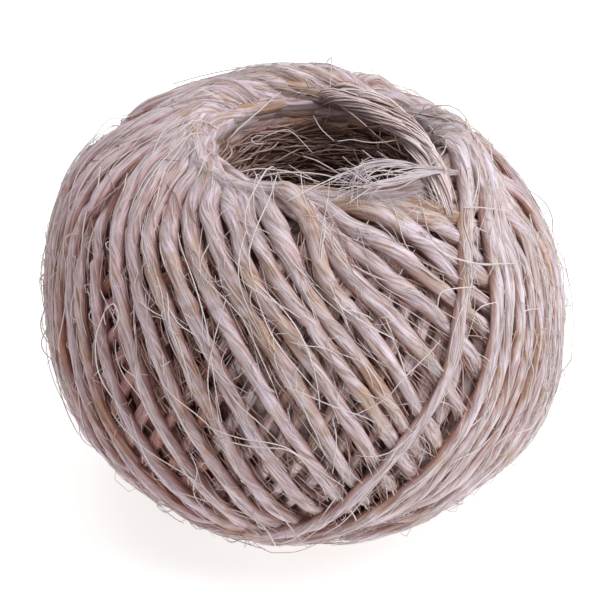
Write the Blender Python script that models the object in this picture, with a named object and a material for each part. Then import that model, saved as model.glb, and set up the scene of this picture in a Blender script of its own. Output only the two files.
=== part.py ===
"""A ball of sisal twine, machine wound on a spindle that has been pulled out.

The ball is one solid: a squat round form with an open spindle hole down its axis, a rounded
lip at each end of the hole, the uneven bulges of the winding, and the main twists of its turns
in relief. Every turn lies close to a plane through the middle of the ball, leans from the axis
by LEAN and touches the lip at both ends. The plane of the last turn parts the ball in two: on
one side the turns that show lean one way, and on the other side they lean the other way.

Metres, +Z up along the hole. The ball stands on the flat ring round the lower mouth, with the
origin under the middle of its box.
"""

import math

import bmesh
import bpy
from mathutils import Vector

# Outer form
BALL_RADIUS = 0.0419
POLE_HEIGHT = 0.0395
LEAN = math.radians(29.0)

# Spindle hole, and the lip round each of its mouths
LIP_ROUND = 0.0042
LIP_JOIN_RADIUS = 0.0226
HOLE_RADIUS = 0.0128
HOLE_WAIST_HEIGHT = 0.0170

# Each mouth is pushed sideways along X and stretched along it, less and less with distance
UPPER_MOUTH_SHIFT = 0.0034
UPPER_MOUTH_STRETCH = 0.08
LOWER_MOUTH_SHIFT = 0.0010
LOWER_MOUTH_STRETCH = 0.05
SHIFT_FADE = (0.0215, 0.0360)
STRETCH_FADE = (0.0160, 0.0240)

# Depth of the flat ring that the ball stands on, and where the bulges fade out above it
FLAT_DEPTH = 0.0332
FOOT_FADE = (0.0240, 0.0310)

# Main twists: neighbouring turns gather into ridges, and the last turn lies over all
RIDGES_ROUND = 21
RIDGE_HEIGHT = 0.0011
LAST_TURN_AZIMUTH = math.radians(206.0)
LAST_TURN_HEIGHT = 0.0014
LAST_TURN_HALF_WIDTH = 0.0026
RELIEF_FADE = (0.70, 0.98)

# Mesh fineness
COLUMNS = 112
BODY_ROWS = 27
LIP_ROWS = 6
HOLE_ROWS = 4

TWINE_COLOUR = (0.56, 0.47, 0.42, 1.0)
TWINE_ROUGHNESS = 0.9

# Bulges and dents of the winding: direction from the middle, spread and height
LUMP_COLUMNS = ("azimuth_deg", "latitude_deg", "spread_deg", "height")
LUMPS = (
    (162.0, 28.0, 26.0, 0.0031),
    (-13.0, -21.0, 20.0, 0.0014),
    (215.0, -43.0, 15.0, -0.0013),
    (-31.0, -42.0, 12.0, -0.0009),
    (60.0, 12.0, 24.0, 0.0008),
    (95.0, -30.0, 20.0, -0.0008),
)


def clear_scene():
    """Removes everything from the scene."""
    for thing in list(bpy.data.objects):
        bpy.data.objects.remove(thing, do_unlink=True)


def smoothstep(low, high, value):
    """0 at low, 1 at high and an even ease between them."""
    share = min(max((value - low) / (high - low), 0.0), 1.0)
    return share * share * (3.0 - 2.0 * share)


def body_height(radius):
    """Height of the squat round form over its middle plane, at this distance from the axis."""
    return POLE_HEIGHT * math.sqrt(1.0 - (radius / BALL_RADIUS) ** 2)


def lip_circle():
    """(radius, height) of the middle of the lip's rounding, and the slope where it joins the body."""
    height = body_height(LIP_JOIN_RADIUS)
    slope = math.atan2(
        POLE_HEIGHT**2 * LIP_JOIN_RADIUS, BALL_RADIUS**2 * height
    )
    return (
        LIP_JOIN_RADIUS - LIP_ROUND * math.sin(slope),
        height - LIP_ROUND * math.cos(slope),
        slope,
    )


def upper_profile():
    """(radius, height) points from the middle of the hole, over the upper lip, to the equator."""
    lip_radius, lip_height, slope = lip_circle()
    neck = lip_radius - LIP_ROUND
    points = []
    for i in range(HOLE_ROWS):
        share = i / HOLE_ROWS
        height = lip_height * share
        flare = smoothstep(HOLE_WAIST_HEIGHT, lip_height, height)
        points.append((HOLE_RADIUS + (neck - HOLE_RADIUS) * flare, height))
    for i in range(LIP_ROWS + 1):
        turn = math.pi - (math.pi / 2.0 + slope) * i / LIP_ROWS
        points.append(
            (
                lip_radius + LIP_ROUND * math.cos(turn),
                lip_height + LIP_ROUND * math.sin(turn),
            )
        )
    half_rows = BODY_ROWS // 2
    first = math.asin(LIP_JOIN_RADIUS / BALL_RADIUS)
    for i in range(1, half_rows + 1):
        polar = first + (math.pi / 2.0 - first) * i / half_rows
        points.append((BALL_RADIUS * math.sin(polar), POLE_HEIGHT * math.cos(polar)))
    return points


def whole_profile():
    """The closed outline of half the ball's section, from the hole's middle round and back."""
    upper = upper_profile()
    lower = [(radius, -height) for radius, height in reversed(upper[1:-1])]
    return upper + lower


def turn_ball(outline):
    """Spins the closed outline round the axis into a ring-shaped skin."""
    form = bmesh.new()
    corners = [form.verts.new((radius, 0.0, height)) for radius, height in outline]
    edges = [
        form.edges.new((corners[i], corners[(i + 1) % len(corners)]))
        for i in range(len(corners))
    ]
    bmesh.ops.spin(
        form,
        geom=corners + edges,
        cent=(0.0, 0.0, 0.0),
        axis=(0.0, 0.0, 1.0),
        angle=2.0 * math.pi,
        steps=COLUMNS,
        use_merge=True,
    )
    bmesh.ops.remove_doubles(form, verts=form.verts, dist=1e-6)
    bmesh.ops.recalc_face_normals(form, faces=form.faces)
    return form


def last_turn_normal():
    """Unit normal of the last turn's plane."""
    return Vector(
        (
            math.cos(LEAN) * math.cos(LAST_TURN_AZIMUTH),
            math.cos(LEAN) * math.sin(LAST_TURN_AZIMUTH),
            math.sin(LEAN),
        )
    )


def lump_height(direction):
    """How far the winding bulges out, or dips in, in this direction from the middle."""
    total = 0.0
    for lump in LUMPS:
        row = dict(zip(LUMP_COLUMNS, lump))
        azimuth = math.radians(row["azimuth_deg"])
        latitude = math.radians(row["latitude_deg"])
        towards = Vector(
            (
                math.cos(latitude) * math.cos(azimuth),
                math.cos(latitude) * math.sin(azimuth),
                math.sin(latitude),
            )
        )
        apart = towards.angle(direction)
        total += row["height"] * math.exp(-((apart / math.radians(row["spread_deg"])) ** 2))
    return total


def twist_height(point):
    """Relief of the gathered turns and of the last turn at this point of the round form."""
    round_point = Vector((point.x, point.y, point.z * BALL_RADIUS / POLE_HEIGHT))
    azimuth = math.atan2(point.y, point.x)
    reach = math.hypot(round_point.x, round_point.y)
    climb = math.tan(LEAN) * round_point.z / reach
    if abs(climb) >= 1.0:
        return 0.0
    off_last_turn = last_turn_normal().dot(round_point)
    quarter = math.acos(-climb)
    turn_azimuth = azimuth + (quarter if off_last_turn > 0.0 else -quarter)
    ridge = 0.5 + 0.5 * math.cos(RIDGES_ROUND * (turn_azimuth - LAST_TURN_AZIMUTH))
    last = math.exp(-((off_last_turn / LAST_TURN_HALF_WIDTH) ** 2))
    relief = RIDGE_HEIGHT * ridge * (1.0 - last) + LAST_TURN_HEIGHT * last
    return relief * (1.0 - smoothstep(*RELIEF_FADE, abs(climb)))


def mouth_shift(point):
    """How far along X the nearer mouth pulls this point."""
    if point.z > 0.0:
        shift, stretch = UPPER_MOUTH_SHIFT, UPPER_MOUTH_STRETCH
    else:
        shift, stretch = LOWER_MOUTH_SHIFT, LOWER_MOUTH_STRETCH
    reach = math.hypot(point.x, point.y)
    near_mouth = smoothstep(HOLE_WAIST_HEIGHT, lip_circle()[1], abs(point.z))
    shifted = shift * (1.0 - smoothstep(*SHIFT_FADE, reach))
    stretched = stretch * point.x * (1.0 - smoothstep(*STRETCH_FADE, reach))
    return near_mouth * (shifted + stretched)


def press_relief(form):
    """Adds the bulges and the twists, pushes the mouths sideways and flattens the foot."""
    base = -FLAT_DEPTH
    for corner in form.verts:
        point = corner.co.copy()
        reach = math.hypot(point.x, point.y)
        bulging = smoothstep(HOLE_RADIUS, LIP_JOIN_RADIUS, reach)
        bulging *= 1.0 - smoothstep(*FOOT_FADE, -point.z)
        direction = point.normalized()
        rise = lump_height(direction) * bulging
        if reach > LIP_JOIN_RADIUS:
            rise += twist_height(point)
        shift = mouth_shift(point)
        point += direction * rise
        point.x += shift
        point.z = max(point.z, base)
        corner.co = point


def stand_on_origin(form):
    """Moves the ball so that the origin lies under the middle of its box."""
    xs = [corner.co.x for corner in form.verts]
    ys = [corner.co.y for corner in form.verts]
    lowest = min(corner.co.z for corner in form.verts)
    middle = Vector(((min(xs) + max(xs)) / 2.0, (min(ys) + max(ys)) / 2.0, lowest))
    bmesh.ops.translate(form, vec=-middle, verts=form.verts)


def twine_material():
    """Dry, pale sisal."""
    material = bpy.data.materials.new("sisal")
    material.use_nodes = True
    shader = material.node_tree.nodes["Principled BSDF"]
    shader.inputs["Base Color"].default_value = TWINE_COLOUR
    shader.inputs["Roughness"].default_value = TWINE_ROUGHNESS
    shader.inputs["Metallic"].default_value = 0.0
    material.diffuse_color = TWINE_COLOUR
    return material


def make_ball():
    """The wound ball as one object, its place in its mesh."""
    form = turn_ball(whole_profile())
    press_relief(form)
    stand_on_origin(form)
    bmesh.ops.triangulate(form, faces=form.faces)
    bmesh.ops.recalc_face_normals(form, faces=form.faces)
    mesh = bpy.data.meshes.new("twine_ball")
    form.to_mesh(mesh)
    form.free()
    mesh.materials.append(twine_material())
    mesh.shade_smooth()
    ball = bpy.data.objects.new("twine_ball", mesh)
    bpy.context.scene.collection.objects.link(ball)
    return ball


clear_scene()
make_ball()
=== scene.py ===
"""The looks of a ball of sisal twine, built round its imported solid.

The twine is wound in the script as a machine winds it, from the oldest turn to the newest. Each
turn lies close to a plane through the middle of the ball, rests on the turns that are there, and
slides a little towards the lower side. What stays in sight becomes tubes of loosely twisted
fibre over a dark core. The walls of the spindle hole, the stray fibres, the tucked end and the
stage follow.
"""

import functools
import math

import bmesh
import bpy
import numpy as np
from bpy.props import FloatProperty, FloatVectorProperty, IntProperty, PointerProperty
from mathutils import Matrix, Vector


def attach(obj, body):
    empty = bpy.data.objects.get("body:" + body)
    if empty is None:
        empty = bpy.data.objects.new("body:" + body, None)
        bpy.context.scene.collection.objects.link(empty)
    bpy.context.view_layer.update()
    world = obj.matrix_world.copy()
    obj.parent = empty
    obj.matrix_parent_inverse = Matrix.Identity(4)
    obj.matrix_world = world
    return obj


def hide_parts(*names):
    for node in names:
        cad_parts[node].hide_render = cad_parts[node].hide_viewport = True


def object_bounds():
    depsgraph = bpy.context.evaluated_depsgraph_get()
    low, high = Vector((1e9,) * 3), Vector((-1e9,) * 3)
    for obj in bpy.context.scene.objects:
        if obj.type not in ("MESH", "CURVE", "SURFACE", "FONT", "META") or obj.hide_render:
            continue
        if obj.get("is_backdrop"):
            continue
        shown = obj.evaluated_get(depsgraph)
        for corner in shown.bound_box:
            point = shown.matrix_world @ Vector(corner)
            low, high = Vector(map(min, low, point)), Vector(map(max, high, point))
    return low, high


bl_info = {
    "name": "Ball of Sisal Twine",
    "version": (1, 0, 0),
    "blender": (4, 5, 0),
    "location": "View3D > Sidebar > Twine",
    "description": "Winds a ball of sisal twine round its packed solid and sets its stage",
    "category": "Add Mesh",
}

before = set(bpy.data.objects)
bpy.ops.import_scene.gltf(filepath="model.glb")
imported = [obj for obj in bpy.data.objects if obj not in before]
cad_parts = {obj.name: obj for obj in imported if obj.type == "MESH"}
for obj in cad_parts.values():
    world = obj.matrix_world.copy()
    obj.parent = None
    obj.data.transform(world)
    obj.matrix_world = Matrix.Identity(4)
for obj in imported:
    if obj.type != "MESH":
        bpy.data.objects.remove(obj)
CAD_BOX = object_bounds()

NODE = "twine_ball"
BODY = "root"

# The wound form, as in the solid: the ball's middle, its body, its lips and its hole
BALL_CENTRE = np.array((0.00022, -0.00003, 0.0332))
BALL_RADIUS = 0.0419
POLE_HEIGHT = 0.0395
LIP_ROUND = 0.0042
LIP_JOIN_RADIUS = 0.0226
HOLE_RADIUS = 0.0128
HOLE_WAIST_HEIGHT = 0.0170
UPPER_MOUTH = {"shift": 0.0034, "stretch": 0.08}
LOWER_MOUTH = {"shift": 0.0010, "stretch": 0.05}
SHIFT_FADE = (0.0215, 0.0360)
STRETCH_FADE = (0.0160, 0.0240)
FOOT_FADE = (0.0240, 0.0310)

# Bulges and dents of the winding: direction from the middle, spread and height
LUMP_COLUMNS = ("azimuth_deg", "latitude_deg", "spread_deg", "height")
LUMPS = (
    (162.0, 28.0, 26.0, 0.0031),
    (-13.0, -21.0, 20.0, 0.0014),
    (215.0, -43.0, 15.0, -0.0013),
    (-31.0, -42.0, 12.0, -0.0009),
    (60.0, 12.0, 24.0, 0.0008),
    (95.0, -30.0, 20.0, -0.0008),
)

# How near the newest turns come to the middle of the upper mouth, the share of a turn that is
# drawn there, as a cosine, and the ages where this sets in
TOP_CLOSENESS = 0.53
TOP_REACH = (0.92, 1.03)
TOP_AGES = (12.8, 15.0)

# The winding law of the newest turns: age in turns, azimuth and lean in degrees of the turn's
# plane, and the plane's distance from the middle of the ball as a share of its radius
TURNS_ROUND = 49
NEWEST_TURNS = (
    (-0.4, 213.0, 32.6, 0.211),
    (0.0, 216.2, 33.3, 0.191),
    (0.3, 221.6, 33.2, 0.193),
    (1.0, 234.2, 32.0, 0.192),
    (1.6, 236.8, 32.0, 0.188),
    (2.6, 240.9, 31.6, 0.180),
    (3.6, 245.1, 30.4, 0.177),
    (4.6, 249.3, 29.8, 0.173),
    (5.6, 253.9, 29.9, 0.160),
    (6.6, 258.6, 27.8, 0.143),
    (7.6, 263.5, 26.8, 0.138),
    (8.6, 268.7, 26.1, 0.128),
    (9.6, 273.9, 23.9, 0.104),
    (10.6, 280.2, 24.1, 0.082),
    (11.6, 287.8, 23.7, 0.077),
    (12.6, 296.4, 24.3, 0.063),
    (13.6, 308.5, 29.5, -0.025),
    (14.6, 321.9, 32.6, -0.070),
    (15.6, 331.4, 29.1, -0.068),
    (16.6, 337.2, 30.7, -0.036),
    (17.6, 347.9, 29.1, -0.088),
    (18.6, 357.4, 30.0, -0.099),
    (19.6, 367.3, 28.8, -0.118),
    (20.6, 373.8, 25.0, -0.132),
    (21.6, 377.7, 28.4, -0.065),
    (22.6, 386.6, 28.4, -0.066),
    (23.6, 382.8, 27.0, 0.004),
    (24.6, 387.0, 24.0, 0.020),
    (25.6, 399.0, 27.7, -0.015),
    (26.6, 410.6, 30.2, -0.015),
    (27.6, 420.5, 30.2, -0.020),
    (28.6, 425.2, 28.2, -0.005),
    (30.0, 435.1, 28.7, -0.010),
    (31.0, 442.1, 29.2, -0.005),
)

# Lean of an older turn's plane from the axis, in degrees, against the azimuth of the plane, the
# azimuth where the newest time round ends, and the age of the twine's outer end
OLDER_LEAN = (
    (440.0, 29.5),
    (566.0, 29.0),
    (790.0, 26.0),
    (960.0, 22.0),
    (1130.0, 18.5),
    (1320.0, 16.0),
    (1560.0, 14.0),
)
ROUND_END = 566.0
NEWEST_AGE = -0.40

# How uneven the turns are: lean in degrees, and the plane's and the path's place as a share
LEAN_UNEVENNESS = 0.8
OFFSET_UNEVENNESS = 0.008
WOBBLE = 0.006

# How far back the winding goes, in times round the ball, and how finely it is worked out
REVOLUTIONS = 3.4
STEPS_PER_TURN = 480

# How far down a turn can be seen, and a strand's height and width as shares of its thickness
DEEPEST_SHOWN = 0.0062
FLATNESS = 0.88
WIDENING = 1.10

# How far the winding stands off the plain form, against arc length, and its visible swells
STAND_OFF = (
    (-0.048, -0.0002),
    (-0.042, -0.0007),
    (-0.034, -0.0006),
    (-0.024, 0.0004),
    (-0.014, 0.0009),
    (0.0, 0.0009),
    (0.030, 0.0008),
    (0.0405, 0.0006),
    (0.046, 0.0003),
    (0.050, 0.0),
)
SWELLS = (
    (140.0, 50.0, 22.0, 0.0013),
    (258.0, 60.0, 15.0, 0.0016),
    (47.0, 45.0, 16.0, -0.0026),
)

# Lobes of a strand's section: how many go round it, and how high they are
LOBES = ((1, 0.05), (2, 0.09), (3, 0.08), (5, 0.04))

# Painted shade on deep turns: depth over which a turn gets dark, against arc length, where that
# starts and where it stops
DARK_DEPTH = ((0.0, 0.0045), (0.028, 0.0060), (0.038, 0.016), (0.046, 0.030))
DARK_START = 0.0034
DARKEST = 0.8

# Depths of the turns just below the newest, and the arc lengths where the painted light and shade
# on them fades out
BELOW_DEPTHS = (0.0007, 0.0020)
BELOW_FADE = (0.036, 0.028)

# Shade of what goes down into the hole, and the arc lengths where it sets in
HOLE_SHADE = 0.45
HOLE_SHADE_RISE = (0.0500, 0.0535)

# Level of painted shade for the turns in the open: lower is painted light, higher is painted shade
PLAIN_SHADE = 0.18

# The side where turns below the newest get painted shade, not painted light, how far round it
# reaches, and how much
PAINTED_SHADE_AZIMUTH = math.radians(208.0)
PAINTED_SHADE_REACH = (math.radians(56.0), math.radians(30.0))
SIDE_PAINTED_SHADE = 0.52

# Thickness of the strand against arc length: it lies flat and wide over the lips
STRAND_WIDTH = (
    (0.0, 0.78),
    (0.018, 0.81),
    (0.031, 1.00),
    (0.040, 1.14),
    (0.048, 1.0),
)

# The grid that the winding rests on
ROW_STEP = 0.0005
COLUMNS = 480


def smoothstep(low, high, value):
    """0 at low, 1 at high and an even ease between them."""
    share = np.clip((value - low) / (high - low), 0.0, 1.0)
    return share * share * (3.0 - 2.0 * share)


def table_value(table, at):
    """Linear reading of a table of (place, value) rows."""
    rows = np.array(table, float)
    return np.interp(at, rows[:, 0], rows[:, 1])


def summed(steps):
    """Distance from the start at each place, for the steps between them."""
    return np.concatenate([[0.0], np.cumsum(steps)])


def unit(vectors):
    """Vectors scaled to length one."""
    return vectors / np.maximum(np.linalg.norm(vectors, axis=1), 1e-12)[:, None]


def wave_noise(rng, places, wavelength, waves=5):
    """Smooth noise of about unit height along the places, in the places' own unit."""
    total = np.zeros(len(places))
    for _ in range(waves):
        pitch = wavelength * rng.uniform(0.6, 1.9)
        total += np.sin(places * (2.0 * math.pi / pitch) + rng.uniform(0.0, 2.0 * math.pi))
    return total * math.sqrt(2.0 / waves) * 0.7


def padded(values, half, ring):
    """Values carried on past both ends of their first axis, in a ring or with the end values."""
    pad = [(half, half)] + [(0, 0)] * (values.ndim - 1)
    return np.pad(values, pad, mode="wrap" if ring else "edge")


def blurred(values, reach, ring=False):
    """Values smoothed along their first axis by a bell of this reach, in steps."""
    half = max(1, int(3 * reach))
    bell = np.exp(-0.5 * (np.arange(-half, half + 1) / reach) ** 2)
    bell /= bell.sum()
    longer = padded(values, half, ring)
    total = np.zeros(values.shape)
    for i, weight in enumerate(bell):
        total += weight * longer[i : i + len(values)]
    return total


def spread_extreme(values, half, pick, ring=False):
    """The highest or lowest value within half steps along the first axis."""
    longer = padded(values, half, ring)
    result = longer[: len(values)].copy()
    for i in range(1, 2 * half + 1):
        result = pick(result, longer[i : i + len(values)])
    return result


# The form and its coordinates: arc length along the section, azimuth, and lift off the surface


def lip_circle():
    """(radius, height) of the middle of the lip's rounding, and the slope where it joins."""
    height = POLE_HEIGHT * math.sqrt(1.0 - (LIP_JOIN_RADIUS / BALL_RADIUS) ** 2)
    slope = math.atan2(POLE_HEIGHT**2 * LIP_JOIN_RADIUS, BALL_RADIUS**2 * height)
    return (
        LIP_JOIN_RADIUS - LIP_ROUND * math.sin(slope),
        height - LIP_ROUND * math.cos(slope),
        slope,
    )


@functools.cache
def section():
    """The form's section as a table: arc length from the equator, radius, height and normal."""
    lip_radius, lip_height, slope = lip_circle()
    polar = np.linspace(math.pi / 2.0, math.asin(LIP_JOIN_RADIUS / BALL_RADIUS), 300)
    body = np.stack([BALL_RADIUS * np.sin(polar), POLE_HEIGHT * np.cos(polar)], 1)
    turn = np.linspace(math.pi / 2.0 - slope, math.pi, 80)[1:]
    lip = np.stack(
        [lip_radius + LIP_ROUND * np.cos(turn), lip_height + LIP_ROUND * np.sin(turn)], 1
    )
    height = np.linspace(lip_height, 0.0, 160)[1:]
    flare = smoothstep(HOLE_WAIST_HEIGHT, lip_height, height)
    neck = lip_radius - LIP_ROUND
    hole = np.stack([HOLE_RADIUS + (neck - HOLE_RADIUS) * flare, height], 1)
    upper = np.concatenate([body, lip, hole])
    lengths = summed(np.hypot(*np.diff(upper, axis=0).T))
    along = np.gradient(upper, lengths, axis=0)
    along /= np.hypot(*along.T)[:, None]
    normal = np.stack([along[:, 1], -along[:, 0]], 1)
    table = np.concatenate([lengths[:, None], upper, normal], 1)
    lower = table[:0:-1] * (-1.0, 1.0, -1.0, 1.0, -1.0)
    table = np.concatenate([lower, table])
    join = float(np.interp(LIP_JOIN_RADIUS, body[::-1, 0], lengths[: len(body)][::-1]))
    return {
        "table": table,
        "half": float(table[-1, 0]),
        "polar": polar[::-1],
        "polar_length": lengths[: len(body)][::-1],
        "join": join,
    }


def section_at(length):
    """Radius, height and outward normal of the section at these arc lengths."""
    table = section()["table"]
    return [np.interp(length, table[:, 0], table[:, i]) for i in range(1, 5)]


def section_radius(length):
    """The form's radius at these arc lengths."""
    return section_at(length)[0]


def polar_to_length(polar):
    """Arc length for a polar angle on the body, carried on over the lips into the hole."""
    form = section()
    folded = np.minimum(polar, math.pi - polar)
    length = np.interp(folded, form["polar"], form["polar_length"])
    first = form["polar"][0]
    length = np.where(
        folded < first, form["join"] + (first - folded) * BALL_RADIUS, length
    )
    return np.where(polar <= math.pi / 2.0, length, -length)


def direction_of(azimuth, latitude):
    """Unit vectors from the middle of the ball, for angles in radians."""
    level = np.cos(latitude)
    return np.stack([level * np.cos(azimuth), level * np.sin(azimuth), np.sin(latitude)], -1)


def lump_height(direction, lumps=LUMPS):
    """How far the winding bulges out, or dips in, in these directions from the middle."""
    total = np.zeros(len(direction))
    for lump in lumps:
        row = dict(zip(LUMP_COLUMNS, lump))
        towards = direction_of(*np.radians((row["azimuth_deg"], row["latitude_deg"])))
        apart = np.arccos(np.clip(direction @ towards, -1.0, 1.0))
        total += row["height"] * np.exp(-((apart / math.radians(row["spread_deg"])) ** 2))
    return total


def lump_share(radius, height):
    """How much of the bulges shows: none in the hole and none at the foot."""
    outside = smoothstep(HOLE_RADIUS, LIP_JOIN_RADIUS, radius)
    return outside * (1.0 - smoothstep(*FOOT_FADE, -height))


def mouth_shift(x, reach, height):
    """How far along X the nearer mouth pulls points of the form."""
    near = smoothstep(HOLE_WAIST_HEIGHT, lip_circle()[1], np.abs(height))
    upper = height > 0.0
    shift = np.where(upper, UPPER_MOUTH["shift"], LOWER_MOUTH["shift"])
    stretch = np.where(upper, UPPER_MOUTH["stretch"], LOWER_MOUTH["stretch"])
    shifted = shift * (1.0 - smoothstep(*SHIFT_FADE, reach))
    stretched = stretch * x * (1.0 - smoothstep(*STRETCH_FADE, reach))
    return near * (shifted + stretched)


def place(length, azimuth, lift):
    """Points in the row frame, and the outward normals there."""
    radius, height, out, up = section_at(length)
    spoke = np.stack([np.cos(azimuth), np.sin(azimuth)], 1)
    normal = np.concatenate([out[:, None] * spoke, up[:, None]], 1)
    point = np.concatenate([radius[:, None] * spoke, height[:, None]], 1)
    direction = unit(point)
    share = lump_share(radius, height)
    shift = mouth_shift(point[:, 0], radius, height)
    point = point + direction * (lump_height(direction) * share)[:, None]
    off = table_value(STAND_OFF, length) + lump_height(direction, SWELLS) * share
    point = point + normal * (lift + off)[:, None]
    point[:, 0] += shift
    return point + BALL_CENTRE, normal


# Winding


def turn_azimuth(age):
    """Azimuth of the turn's plane, in degrees, for ages counted in turns."""
    rng = np.random.default_rng(11)
    ages = [row[0] for row in NEWEST_TURNS]
    azimuths = [row[1] for row in NEWEST_TURNS]
    pitch = (ROUND_END - azimuths[-1]) / (TURNS_ROUND - ages[-1])
    for turn in range(int(ages[-1]) + 1, int(TURNS_ROUND * (REVOLUTIONS + 1.0))):
        azimuths.append(azimuths[-1] + pitch * rng.uniform(0.8, 1.2) * (turn - ages[-1]))
        ages.append(turn)
        if turn == TURNS_ROUND:
            pitch = 360.0 / TURNS_ROUND
    return np.interp(age, ages, azimuths)


def turn_path(age):
    """(arc length, azimuth) of the twine's middle line, as wound, for ages counted in turns."""
    rng = np.random.default_rng(5)
    facing = turn_azimuth(age)
    phase = np.radians(facing)
    known = np.array(NEWEST_TURNS)
    older = smoothstep(known[-3, 0], known[-1, 0], age)
    lean = table_value(OLDER_LEAN, facing) + LEAN_UNEVENNESS * wave_noise(rng, age, 2.3)
    lean += (np.interp(age, known[:, 0], known[:, 2]) - lean) * (1.0 - older)
    offset = OFFSET_UNEVENNESS * wave_noise(rng, age, 2.9) * older
    offset += np.interp(age, known[:, 0], known[:, 3]) * (1.0 - older)
    wobble = WOBBLE * wave_noise(rng, age, 0.21)
    lean = np.radians(lean)
    angle = -2.0 * math.pi * (age + 0.25)
    at_top = smoothstep(*TOP_REACH, np.cos(angle)) * smoothstep(*TOP_AGES, age) * (1.0 - older)
    across = offset + (np.tan(lean) - TOP_CLOSENESS - offset) * at_top + wobble
    drop = -np.sin(lean)
    top = np.stack([drop * np.cos(phase), drop * np.sin(phase), np.cos(lean)], 1)
    side = np.stack([np.sin(phase), -np.cos(phase), np.zeros(len(age))], 1)
    within = np.sqrt(1.0 - across**2)
    point = direction_of(phase, lean) * across[:, None]
    point += (within * np.cos(angle))[:, None] * top
    point += (within * np.sin(angle))[:, None] * side
    polar = np.arccos(np.clip(point[:, 2], -1.0, 1.0))
    azimuth = np.arctan2(point[:, 1], point[:, 0])
    return polar_to_length(polar), azimuth


class WoundSurface:
    """A height over the form at every arc length and azimuth, on a grid."""

    def __init__(self):
        self.half = section()["half"]
        self.rows = int(2.0 * self.half / ROW_STEP) + 1
        self.height = np.zeros((self.rows, COLUMNS))
        self.covered = np.zeros((self.rows, COLUMNS), bool)

    def cells(self, length, azimuth):
        """Grid cells that hold these places."""
        row = np.rint((length + self.half) / ROW_STEP).astype(int)
        column = np.rint(azimuth * (COLUMNS / (2.0 * math.pi))).astype(int)
        return np.clip(row, 0, self.rows - 1), column % COLUMNS

    def touching(self, length, azimuth, across, radius, shifts, side):
        """Height of a strand that just touches the surface, at each of these sideways shifts.

        side is 1.0 for a strand that rests on the surface, and -1.0 for one that hangs under it.
        """
        gap = shifts[1] - shifts[0]
        reach = int(round(0.9 * radius.mean() / gap))
        spots = shifts[0] + gap * np.arange(-reach, len(shifts) + reach)
        there = [beside(length, azimuth, across, spot) for spot in spots]
        level = np.stack([self.height[self.cells(*spot)] for spot in there], 1)
        thick = table_value(SQUEEZE, np.abs(length))
        result = np.full((len(length), len(shifts)), -1.0)
        for i in range(2 * reach + 1):
            lever = (i - reach) * gap
            rise = thick * np.sqrt(np.maximum(radius**2 - lever**2, 0.0))
            result = np.maximum(result, side * level[:, i : i + len(shifts)] + rise[:, None])
        return side * result

    def lay(self, length, azimuth, across, middle, radius, side):
        """Moves the surface to a strand's back (side 1.0) or to its underside (side -1.0)."""
        thick = radius * table_value(SQUEEZE, np.abs(length))
        extreme = np.maximum if side > 0.0 else np.minimum
        for share in np.linspace(-1.0, 1.0, 13):
            cells = self.cells(*beside(length, azimuth, across, share * radius))
            edge = middle + side * thick * math.sqrt(max(0.0, 1.0 - share**2))
            extreme.at(self.height, cells, edge)
            self.covered[cells] = True

    def lay_densely(self, length, azimuth, across, middle, radius, side):
        """Lays a strand with a step between each two of its places."""
        self.lay(length, azimuth, across, middle, radius, side)
        turned = np.unwrap(azimuth)
        between = [0.5 * (v[1:] + v[:-1]) for v in (length, turned, across, middle, radius)]
        self.lay(*between, side)


def across_direction(length, azimuth):
    """Unit direction across a path in the plane of arc length and distance round the axis."""
    radius = section_radius(length)
    turned = np.unwrap(azimuth)
    run = np.stack([np.gradient(length), np.gradient(turned) * radius], 1)
    run /= np.maximum(np.hypot(*run.T), 1e-9)[:, None]
    return np.stack([-run[:, 1], run[:, 0]], 1)


def beside(length, azimuth, across, distance):
    """Places this far to the side of a path."""
    there = length + across[:, 0] * distance
    return there, azimuth + across[:, 1] * distance / section_radius(length)


# Sideways shifts that a strand tries, what they cost against arc length, how softly the lowest
# is picked, how thick a strand counts as, and how many steps two turns' work overlaps
SHIFTS = np.linspace(-0.0024, 0.0024, 17)
NO_SHIFT = np.linspace(-0.0003, 0.0003, 3)
SHIFT_COST = ((0.0, 140.0), (0.024, 180.0), (0.034, 4000.0))
SHIFT_SOFTNESS = 0.00018
SQUEEZE = ((0.0, 0.74), (0.022, 0.70), (0.031, 0.35), (0.037, 0.18), (0.042, 0.12))
OVERLAP = 24

# How much deeper each revolution of turns may lie, against arc length
LAYER_DEPTH = (
    (0.0, 0.0075),
    (0.026, 0.0060),
    (0.034, 0.0036),
    (0.040, 0.0020),
    (0.046, 0.0010),
    (0.050, 0.0004),
)


def slide_turns(path, across, radius):
    """How far each place slides sideways, as each turn in its time seeks a low bed."""
    surface = WoundSurface()
    length, azimuth = path
    count = len(length)
    moved = np.zeros(count)
    middle = np.zeros(count)
    for start in range(0, count, STEPS_PER_TURN):
        stop = min(start + STEPS_PER_TURN, count)
        ahead = min(stop + OVERLAP, count)
        known = max(0, start - OVERLAP)
        part = slice(start, ahead)
        rest = surface.touching(
            length[part], azimuth[part], across[part], radius[part], SHIFTS, 1.0
        )
        stay = table_value(SHIFT_COST, np.abs(length[part]))
        cost = blurred(rest, 5.0) + stay[:, None] * SHIFTS**2
        cost -= cost.min(axis=1)[:, None]
        weight = np.exp(-cost / SHIFT_SOFTNESS)
        shift = (weight * SHIFTS).sum(1) / weight.sum(1)
        shift = blurred(np.concatenate([moved[known:start], shift]), 7.0)
        moved[start:stop] = shift[start - known : stop - known]
        turn = slice(start, stop)
        there = beside(length[turn], azimuth[turn], across[turn], moved[turn])
        rest = surface.touching(*there, across[turn], radius[turn], NO_SHIFT, 1.0)[:, 1]
        middle[turn] = blurred(spread_extreme(rest, 3, np.maximum), 4.0)
        surface.lay_densely(*there, across[turn], middle[turn], radius[turn], 1.0)
    return moved


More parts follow.
